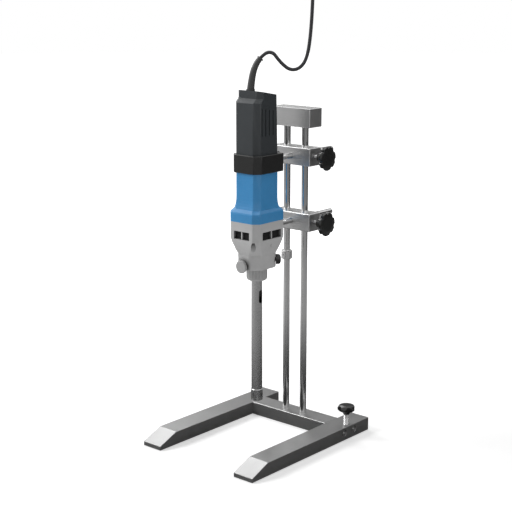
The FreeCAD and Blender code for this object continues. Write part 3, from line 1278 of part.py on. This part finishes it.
def write_nodes():
    for name, solids in PIECES.items():
        pieces = [piece for solid in solids for piece in solid.Solids]
        shape = pieces[0] if len(pieces) == 1 else Part.makeCompound(pieces)
        good = all(piece.isValid() for piece in pieces) and len(pieces) == len(solids)
        print("%-28s %2d solids %10.0f mm3 %s" % (name, len(pieces), shape.Volume, "" if good else "CHECK"))
        shape.exportStep("parts/%s.step" % name)


os.makedirs("parts", exist_ok=True)
make_legs()
make_crossbar()
make_base_bolts()
make_columns()
make_top_block()
make_stop_collar()
make_level_screw()
make_clamps()
make_rods()
make_motor_collar()
make_gear_housing()
make_motor_housing()
make_rear_housing()
make_bearings()
make_field_stator()
make_armature()
make_fan()
make_brush_gear()
make_gear_plates()
make_countershaft()
make_spindle()
make_drive_shaft()
make_outer_tube()
make_stator_head()
make_union_nut()
make_selector()
make_lock_button()
make_switch_and_dial()
make_strain_relief()
make_cord()
write_nodes()
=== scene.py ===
"""Looks of a high shear mixer held on a two-column stand. Metres, +Z up, front is -Y."""
import math

import bpy
from mathutils import Matrix, Vector


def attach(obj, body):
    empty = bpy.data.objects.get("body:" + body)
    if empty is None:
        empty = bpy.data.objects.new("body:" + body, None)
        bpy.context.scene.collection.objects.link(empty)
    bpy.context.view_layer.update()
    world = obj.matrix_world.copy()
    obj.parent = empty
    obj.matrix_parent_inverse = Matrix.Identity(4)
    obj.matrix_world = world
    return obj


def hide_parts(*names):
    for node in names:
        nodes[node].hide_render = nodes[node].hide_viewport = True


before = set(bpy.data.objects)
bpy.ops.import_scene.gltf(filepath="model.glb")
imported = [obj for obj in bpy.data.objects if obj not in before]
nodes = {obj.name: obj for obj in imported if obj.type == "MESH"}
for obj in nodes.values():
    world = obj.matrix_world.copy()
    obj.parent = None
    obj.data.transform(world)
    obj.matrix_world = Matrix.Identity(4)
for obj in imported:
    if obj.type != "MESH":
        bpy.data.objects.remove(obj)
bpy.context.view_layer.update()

MM = 0.001

# Camera of the photograph
EYE = Vector((1.8619, -2.2880, 1.1176))
CAMERA_BACK = Vector((0.63907, -0.73481, 0.22724))
FOCAL_PIXELS = 1236.3
FRAME_PIXELS = 512
SENSOR_WIDTH = 36.0
CAMERA_SIGHT = 80

# Cord route in millimetres: distance out from the housing's centre line, height
CORD_HEADING = math.radians(41)
CORD_FOOT_Y = -166
CORD_ROUTE = (
    (23, 919), (34, 931), (51, 931), (62, 916), (74, 903), (89, 892), (107, 893),
    (122, 907), (130, 931), (134, 960), (136.5, 990), (138.5, 1026), (139.5, 1061),
)
CORD_DIAMETER = 8 * MM
CORD_STEPS = 12
CORD_SIDES = 6


def cord_point(out, height):
    x = out * math.cos(CORD_HEADING)
    y = CORD_FOOT_Y + out * math.sin(CORD_HEADING)
    return Vector((x, y, height)) * MM


def make_camera():
    data = bpy.data.cameras.new("camera")
    data.sensor_width = SENSOR_WIDTH
    data.lens = FOCAL_PIXELS / FRAME_PIXELS * SENSOR_WIDTH
    data.clip_end = CAMERA_SIGHT
    camera = bpy.data.objects.new("camera", data)
    back = CAMERA_BACK.normalized()
    right = Vector((0, 0, 1)).cross(back).normalized()
    up = back.cross(right)
    turn = Matrix((right, up, back)).transposed().to_4x4()
    camera.matrix_world = Matrix.Translation(EYE) @ turn
    bpy.context.scene.collection.objects.link(camera)
    bpy.context.scene.camera = camera


def new_object(name, data):
    made = bpy.data.objects.new(name, data)
    bpy.context.scene.collection.objects.link(made)
    return made


def new_mesh(name, points, faces, smooth=True):
    mesh = bpy.data.meshes.new(name)
    mesh.from_pydata([tuple(p) for p in points], [], faces)
    mesh.validate()
    if smooth:
        mesh.shade_smooth()
    return new_object(name, mesh)


def make_cord():
    points = [cord_point(out, height) for out, height in CORD_ROUTE]
    curve = bpy.data.curves.new("cord_line", "CURVE")
    curve.dimensions = "3D"
    curve.resolution_u = CORD_STEPS
    curve.bevel_depth = 1.0
    curve.bevel_resolution = CORD_SIDES
    line = curve.splines.new("NURBS")
    line.points.add(len(points) - 1)
    for control, point in zip(line.points, points):
        control.co = (*point, 1)
        control.radius = CORD_DIAMETER / 2
    line.order_u = 3
    line.use_endpoint_u = True
    cord = new_object("cord_line", curve)
    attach(cord, "head")
    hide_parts("mains_cord")
    return cord


# Sheet of painted shade inside the vents, in millimetres: motor axis, half width and depth, corner cut,
# lowest and highest
HEAD_AXIS_Y = -144
VENT_SHADE_HALF = (39.9, 48.2)
VENT_SHADE_CHAMFER = 20
VENT_SHADE_HEIGHTS = (499, 527)


def make_vent_shade_sheet():
    """Near-black sheet between the fan and the gear housing's vents: painted shade inside the vents."""
    hx, hy = VENT_SHADE_HALF
    cut = VENT_SHADE_CHAMFER
    outline = (
        (hx, hy - cut), (hx - cut, hy), (cut - hx, hy), (-hx, hy - cut),
        (-hx, cut - hy), (cut - hx, -hy), (hx - cut, -hy), (hx, cut - hy),
    )
    points = [Vector((x, HEAD_AXIS_Y + y, z)) * MM for z in VENT_SHADE_HEIGHTS for x, y in outline]
    count = len(outline)
    faces = [(i, (i + 1) % count, count + (i + 1) % count, count + i) for i in range(count)]
    vent_shade_sheet = new_mesh("painted_vent_shade", points, faces, smooth=False)
    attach(vent_shade_sheet, "head")
    return vent_shade_sheet


make_camera()
cord = make_cord()
vent_shade_sheet = make_vent_shade_sheet()


# Materials

def linear(level):
    share = level / 255
    if share <= 0.04045:
        return share / 12.92
    return ((share + 0.055) / 1.055) ** 2.4


def tone(red, green, blue):
    return (linear(red), linear(green), linear(blue), 1.0)


def grey(level):
    return tone(level, level, level)


def scaled(colour, factor):
    return tuple(min(1.0, c * factor) for c in colour[:3]) + (1.0,)


def new_material(name):
    """Material with its node tree, which holds the standard shader."""
    material = bpy.data.materials.new(name)
    material.use_nodes = True
    return material, material.node_tree


def calculated(tree, operation, first, second=None):
    """Output of a maths node whose inputs are sockets or plain numbers."""
    node = tree.nodes.new("ShaderNodeMath")
    node.operation = operation
    for socket, value in zip(node.inputs, (first, second)):
        if isinstance(value, float):
            socket.default_value = value
        elif value is not None:
            tree.links.new(value, socket)
    return node.outputs[0]


def mapped(tree, value, source, target):
    """Map range node that carries a value from one range, low to high, to another."""
    node = tree.nodes.new("ShaderNodeMapRange")
    for label, number in zip(("From Min", "From Max", "To Min", "To Max"), (*source, *target)):
        node.inputs[label].default_value = number
    tree.links.new(value, node.inputs["Value"])
    return node


def multiplied(tree, colour, factor):
    """Colour times a second colour or value."""
    node = tree.nodes.new("ShaderNodeMix")
    node.data_type = "RGBA"
    node.blend_type = "MULTIPLY"
    node.inputs["Factor"].default_value = 1.0
    tree.links.new(colour, node.inputs["A"])
    tree.links.new(factor, node.inputs["B"])
    return node.outputs["Result"]


def relief(tree, height, strength, distance):
    """Bump node that raises the surface by a height."""
    node = tree.nodes.new("ShaderNodeBump")
    node.inputs["Strength"].default_value = strength
    node.inputs["Distance"].default_value = distance
    tree.links.new(height, node.inputs["Height"])
    return node


def grain_noise(tree, scale, stretch, detail):
    place = tree.nodes.new("ShaderNodeTexCoord")
    mapping = tree.nodes.new("ShaderNodeMapping")
    mapping.inputs["Scale"].default_value = stretch
    noise = tree.nodes.new("ShaderNodeTexNoise")
    noise.inputs["Scale"].default_value = scale
    noise.inputs["Detail"].default_value = detail
    tree.links.new(place.outputs["Object"], mapping.inputs["Vector"])
    tree.links.new(mapping.outputs["Vector"], noise.inputs["Vector"])
    return noise.outputs["Fac"]


# Painted shade in hollows: occlusion samples, the occlusion range and the darkening it maps to
HOLLOW_SAMPLES = 6
HOLLOW_OPEN = (0.35, 0.95)
HOLLOW_SHADE = (0.12, 1.0)


def paint_hollow_shade(tree, colour, reach):
    """Colour darkened by painted shade where other surfaces stand within reach."""
    hollow = tree.nodes.new("ShaderNodeAmbientOcclusion")
    hollow.samples = HOLLOW_SAMPLES
    hollow.inputs["Distance"].default_value = reach
    depth = mapped(tree, hollow.outputs["AO"], HOLLOW_OPEN, HOLLOW_SHADE)
    return multiplied(tree, colour, depth.outputs["Result"])


# Noise values between which the grain and the cloud run from low to high
NOISE_SPAN = (0.3, 0.7)
GRAIN_DETAIL = 5
GRAIN_HEIGHT = 0.0004
CLOUD_SCALE = 22.0
CLOUD_DETAIL = 3
GLOSS_SPREAD = 0.04


def finish(name, colour, roughness, metallic=0.0, grain=900.0, stretch=(1, 1, 1), shade=0.06,
           bump=0.05, cloud=0.05, hollow=0.0):
    """A surface with fine grain and a soft cloud in its colour, gloss and height, and painted shade in its
    hollows when hollow is given.
    """
    material, tree = new_material(name)
    shader = tree.nodes["Principled BSDF"]
    shader.inputs["Metallic"].default_value = metallic
    fine = grain_noise(tree, grain, stretch, GRAIN_DETAIL)
    broad = grain_noise(tree, CLOUD_SCALE, (1, 1, 1), CLOUD_DETAIL)
    mixed = tree.nodes.new("ShaderNodeMix")
    mixed.data_type = "RGBA"
    mixed.inputs["A"].default_value = scaled(colour, 1 - shade)
    mixed.inputs["B"].default_value = scaled(colour, 1 + shade)
    tree.links.new(fine, mixed.inputs["Factor"])
    ramp = mapped(tree, broad, NOISE_SPAN, (1 - cloud, 1 + cloud))
    final = multiplied(tree, mixed.outputs["Result"], ramp.outputs["Result"])
    if hollow:
        final = paint_hollow_shade(tree, final, hollow)
    tree.links.new(final, shader.inputs["Base Color"])
    gloss = mapped(tree, fine, NOISE_SPAN, (roughness - GLOSS_SPREAD, roughness + GLOSS_SPREAD))
    tree.links.new(gloss.outputs["Result"], shader.inputs["Roughness"])
    uneven = relief(tree, fine, bump, GRAIN_HEIGHT)
    tree.links.new(uneven.outputs["Normal"], shader.inputs["Normal"])
    return material


# Points on the axes of the level screw and of the clamp studs
LEVEL_AXIS = (0.160, 0.0045, 0)
UPPER_STUD_AXIS = (0, 0, 0.680)
LOWER_STUD_AXIS = (0, 0, 0.522)

# Stretch of the grain that makes brush marks run along or round an axis
ALONG_X = (0.03, 1, 1)
ALONG_Y = (1, 0.03, 1)
ALONG_Z = (1, 1, 0.03)
ROUND_Z = (0.25, 0.25, 1)


METAL_GRAIN = 1400.0
METAL_SHADE = 0.08
PLASTIC_SHADE = 0.05
FAINT_CLOUD = 0.04


def metal(name, level, roughness, stretch=(1, 1, 1), bump=0.06, metallic=1.0):
    return finish(name, grey(level), roughness, metallic, METAL_GRAIN, stretch,
                  shade=METAL_SHADE, bump=bump, cloud=FAINT_CLOUD)


def plastic(name, colour, roughness, grain=1600.0, bump=0.12, hollow=0.0):
    return finish(name, colour, roughness, grain=grain,
                  shade=PLASTIC_SHADE, bump=bump, cloud=FAINT_CLOUD, hollow=hollow)


THREAD_STRENGTH = 0.8
THREAD_DEPTH = 0.2


def threaded(name, level, roughness, centre, axis, pitch):
    """Bright steel with a right-hand thread wound round an axis through centre."""
    material = metal(name, level, roughness)
    tree = material.node_tree
    place = tree.nodes.new("ShaderNodeTexCoord")
    local = tree.nodes.new("ShaderNodeMapping")
    local.vector_type = "TEXTURE"
    local.inputs["Location"].default_value = centre
    local.inputs["Rotation"].default_value = Vector((0, 0, 1)).rotation_difference(Vector(axis)).to_euler()
    tree.links.new(place.outputs["Object"], local.inputs["Vector"])
    split = tree.nodes.new("ShaderNodeSeparateXYZ")
    tree.links.new(local.outputs["Vector"], split.inputs["Vector"])
    angle = calculated(tree, "ARCTAN2", split.outputs["Y"], split.outputs["X"])
    rise = calculated(tree, "MULTIPLY", split.outputs["Z"], 2 * math.pi / (pitch * MM))
    wave = calculated(tree, "SINE", calculated(tree, "SUBTRACT", rise, angle))
    thread = relief(tree, wave, THREAD_STRENGTH, THREAD_DEPTH * pitch * MM)
    shader = tree.nodes["Principled BSDF"]
    grain = shader.inputs["Normal"].links[0].from_node
    tree.links.new(thread.outputs["Normal"], grain.inputs["Normal"])
    return material


FINISHES = (
    (metal("leg_steel", 156, 0.36, ALONG_Y, metallic=0.8), ("left_leg", "right_leg")),
    (metal("crossbar_steel", 160, 0.36, ALONG_X, metallic=0.8), ("rear_crossbar",)),
    (metal("zinc_screws", 225, 0.3), ("stand_screws", "rod_set_screws", "head_screws")),
    (metal("column_chrome", 214, 0.14, ALONG_Z, bump=0.01), ("left_column", "right_column")),
    (metal("block_metal", 200, 0.34, ALONG_X),
     ("top_block", "upper_clamp_block", "lower_clamp_block")),
    (metal("collar_bright", 215, 0.22, ROUND_Z), ("stop_collar", "union_nut_ring")),
    (threaded("spindle_steel", 225, 0.22, LEVEL_AXIS, (0, 0, 1), 2.0), ("level_spindle",)),
    (threaded("upper_stud_steel", 190, 0.25, UPPER_STUD_AXIS, (1, 0, 0), 1.5), ("upper_clamp_stud",)),
    (threaded("lower_stud_steel", 190, 0.25, LOWER_STUD_AXIS, (1, 0, 0), 1.5), ("lower_clamp_stud",)),
    (metal("rod_steel", 200, 0.22, ALONG_Y), ("upper_rod", "lower_rod")),
    (metal("brass", 170, 0.3), ("upper_thrust_pad", "lower_thrust_pad", "brush_holders")),
    (metal("bearing_steel", 200, 0.2), ("ball_bearings",)),
    (metal("lamination_iron", 110, 0.5, ALONG_X), ("field_stator", "armature_core")),
    (finish("winding_copper", tone(184, 96, 48), 0.35, 1.0, 2400.0, ROUND_Z, bump=0.4),
     ("field_windings", "armature_windings")),
    (finish("commutator_copper", tone(200, 120, 70), 0.25, 1.0), ("commutator",)),
    (metal("shaft_steel", 190, 0.22, ROUND_Z),
     ("armature_shaft", "countershaft", "countershaft_wheel", "output_spindle", "output_wheel")),
    (metal("mixing_steel", 190, 0.26, ROUND_Z, bump=0.03),
     ("outer_tube", "stator_head", "drive_shaft", "shaft_coupling", "rotor")),
    (metal("plate_aluminium", 180, 0.4), ("bearing_plate", "gear_carrier_plate")),
    (plastic("knob_black", grey(26), 0.3, bump=0.08),
     ("upper_clamp_knob", "lower_clamp_knob", "level_knob")),
    (plastic("collar_black", grey(28), 0.36), ("motor_collar",)),
    (plastic("housing_black", tone(58, 62, 65), 0.34), ("rear_housing",)),
    (plastic("housing_blue", tone(66, 150, 210), 0.3, bump=0.06), ("motor_housing",)),
    # The grey housing and the union nut get painted shade in their hollows
    (plastic("housing_grey", grey(196), 0.45, bump=0.1, hollow=0.012), ("gear_housing",)),
    (plastic("nut_grey", grey(176), 0.45, hollow=0.004), ("union_nut",)),
    (plastic("selector_grey", grey(180), 0.45), ("gear_selector",)),
    (plastic("button_black", grey(30), 0.4), ("spindle_lock_button", "power_switch", "speed_dial")),
    (plastic("fan_plastic", grey(40), 0.5), ("cooling_fan",)),
    (plastic("bush_white", grey(215), 0.4), ("plain_bushes",)),
    (plastic("board_green", tone(40, 84, 62), 0.5), ("switch_and_speed_control",)),
    (plastic("brush_carbon", grey(24), 0.6), ("carbon_brushes",)),
    (plastic("foot_rubber", grey(26), 0.7), ("level_foot_pad",)),
    (plastic("relief_rubber", grey(66), 0.45), ("strain_relief",)),
    (plastic("cord_rubber", grey(62), 0.4, grain=700.0), ("mains_cord",)),
    (plastic("fitting_plastic", grey(60), 0.5), ("overhead_fitting",)),
)


def paint(piece, material):
    if not piece.material_slots:
        piece.data.materials.append(material)
    for place in piece.material_slots:
        place.material = material


for material, names in FINISHES:
    for name in names:
        paint(nodes[name], material)
paint(cord, bpy.data.materials["cord_rubber"])
# Near-black colour of the sheet of painted shade inside the vents
paint(vent_shade_sheet, plastic("painted_vent_shade_black", grey(8), 0.8))


# Broken edges on the solid pieces

WELD_REACH = 1e-6
EDGE_SEGMENTS = 3
EDGE_ANGLE = math.radians(38)


def soften(name, width):
    piece = nodes[name]
    weld = piece.modifiers.new("join", "WELD")
    weld.merge_threshold = WELD_REACH
    edge = piece.modifiers.new("edges", "BEVEL")
    edge.width = width * MM
    edge.segments = EDGE_SEGMENTS
    edge.limit_method = "ANGLE"
    edge.angle_limit = EDGE_ANGLE
    edge.harden_normals = True
    edge.use_clamp_overlap = True


for name, width in (
    ("left_leg", 0.6), ("right_leg", 0.6), ("rear_crossbar", 0.6), ("top_block", 0.5),
    ("upper_clamp_block", 0.5), ("lower_clamp_block", 0.5), ("motor_collar", 1.6),
    ("rear_housing", 1.6), ("motor_housing", 1.2), ("gear_housing", 1.0),
    ("upper_clamp_knob", 1.0), ("lower_clamp_knob", 1.0), ("level_knob", 0.8),
    ("gear_selector", 0.8), ("spindle_lock_button", 0.8),
):
    soften(name, width)


# Studio

def mixed_by_ray(tree, plain, seen):
    """plain for lighting, seen for what the camera, mirrors and glass look at."""
    ray = tree.nodes.new("ShaderNodeLightPath").outputs
    straight = calculated(tree, "MAXIMUM", ray["Is Camera Ray"], ray["Is Glossy Ray"])
    looked = calculated(tree, "MAXIMUM", straight, ray["Is Transmission Ray"])
    return mixed_shader(tree, looked, plain, seen)


def mixed_shader(tree, share, first, second):
    mix = tree.nodes.new("ShaderNodeMixShader")
    tree.links.new(share, mix.inputs["Fac"])
    tree.links.new(first, mix.inputs[1])
    tree.links.new(second, mix.inputs[2])
    return mix.outputs["Shader"]


AMBIENT = 0.32


def make_world():
    world = bpy.data.worlds.new("studio")
    bpy.context.scene.world = world
    world.use_nodes = True
    tree = world.node_tree
    tree.nodes.clear()
    white = []
    for strength in (AMBIENT, 1.0):
        light = tree.nodes.new("ShaderNodeBackground")
        light.inputs["Color"].default_value = (1, 1, 1, 1)
        light.inputs["Strength"].default_value = strength
        white.append(light.outputs[0])
    out = tree.nodes.new("ShaderNodeOutputWorld")
    tree.links.new(mixed_by_ray(tree, *white), out.inputs["Surface"])


FLOOR_WHITE = (0.8, 0.8, 0.8, 1)
FLOOR_GLOW = 0.36
FLOOR_CLEAR = (0.75, 2.2)
FLOOR_RADIUS = 14
FLOOR_SIDES = 96
FLOOR_DROP = 0.0005

# Grey of the floor in mirrors, near the object and further out, and where it changes; the dark grey near
# the object is painted shade in the reflections on the metal
MIRRORED_NEAR = 58
MIRRORED_FAR = 185
MIRRORED_REACH = (0.35, 1.1)


def floor_material():
    """White, keeps the soft shadow near the object and fades to the plain background."""
    material, tree = new_material("floor_white")
    tree.nodes.clear()
    cloth = tree.nodes.new("ShaderNodeBsdfDiffuse")
    cloth.inputs["Color"].default_value = FLOOR_WHITE
    place = tree.nodes.new("ShaderNodeTexCoord")
    length = tree.nodes.new("ShaderNodeVectorMath")
    length.operation = "LENGTH"
    tree.links.new(place.outputs["Object"], length.inputs[0])
    fade = mapped(tree, length.outputs["Value"], FLOOR_CLEAR, (FLOOR_GLOW, 1.0))
    fade.interpolation_type = "SMOOTHSTEP"
    glow = tree.nodes.new("ShaderNodeEmission")
    tree.links.new(fade.outputs["Result"], glow.inputs["Strength"])
    both = tree.nodes.new("ShaderNodeAddShader")
    tree.links.new(cloth.outputs[0], both.inputs[0])
    tree.links.new(glow.outputs[0], both.inputs[1])
    out = tree.nodes.new("ShaderNodeOutputMaterial")
    mirrored = tree.nodes.new("ShaderNodeBsdfDiffuse")
    greys = (linear(MIRRORED_NEAR), linear(MIRRORED_FAR))
    away = mapped(tree, length.outputs["Value"], MIRRORED_REACH, greys)
    tree.links.new(away.outputs["Result"], mirrored.inputs["Color"])
    ray = tree.nodes.new("ShaderNodeLightPath").outputs
    glossy = mixed_shader(tree, ray["Is Glossy Ray"], both.outputs[0], mirrored.outputs[0])
    tree.links.new(mixed_by_ray(tree, cloth.outputs[0], glossy), out.inputs["Surface"])
    return material


def make_floor():
    turns = [2 * math.pi * i / FLOOR_SIDES for i in range(FLOOR_SIDES)]
    rim = [Vector((FLOOR_RADIUS * math.cos(turn), FLOOR_RADIUS * math.sin(turn), 0)) for turn in turns]
    floor = new_mesh("floor", rim, [tuple(range(FLOOR_SIDES))], smooth=False)
    floor.location.z = -FLOOR_DROP
    paint(floor, floor_material())


def aimed(place, direction, axis):
    """Matrix that stands at a place with one of its own axes along a direction."""
    turn = Vector(direction).to_track_quat(axis, "Y").to_matrix().to_4x4()
    return Matrix.Translation(place) @ turn


def make_card(name, place, facing, width, height, level):
    """A grey board that only mirrors see, to shade the metal and the glossy faces."""
    hx, hy = width / 2, height / 2
    corners = [(-hx, -hy, 0), (hx, -hy, 0), (hx, hy, 0), (-hx, hy, 0)]
    card = new_mesh(name, corners, [(0, 1, 2, 3)], smooth=False)
    card.matrix_world = aimed(place, facing, "Z")
    card.visible_camera = False
    card.visible_diffuse = False
    card.visible_shadow = False
    card.visible_transmission = False
    material, tree = new_material(name)
    tree.nodes.clear()
    glow = tree.nodes.new("ShaderNodeEmission")
    glow.inputs["Color"].default_value = grey(level)
    out = tree.nodes.new("ShaderNodeOutputMaterial")
    tree.links.new(glow.outputs[0], out.inputs["Surface"])
    paint(card, material)


def make_lamp(name, place, target, power, size):
    data = bpy.data.lights.new(name, "AREA")
    data.energy = power
    data.shape = "DISK"
    data.size = size
    lamp = new_object(name, data)
    lamp.matrix_world = aimed(place, Vector(target) - Vector(place), "-Z")
    lamp.visible_camera = False


make_world()
make_floor()
make_card("dark_card", (1.3, 1.5, 0.6), (-0.65, -0.75, 0.1), 1.6, 1.7, 70)
make_card("low_back_card", (-1.5, 1.9, 0.6), (0.6, -0.75, 0), 2.0, 1.2, 95)
make_card("high_back_card", (-1.5, 1.9, 1.8), (0.6, -0.75, 0), 2.0, 1.2, 165)
make_lamp("key_lamp", (-2.4, -1.6, 2.6), (0, -0.1, 0.5), 68, 1.6)
make_lamp("fill_lamp", (2.7, -1.0, 1.6), (0, -0.1, 0.5), 3, 2.0)
make_lamp("toe_lamp", (-1.9, 0.95, 2.0), (0, -0.2, 0), 24, 1.5)
make_lamp("top_lamp", (0.3, 0.6, 3.2), (0, 0, 0.3), 22, 1.6)
bpy.context.scene.view_settings.view_transform = "Standard"
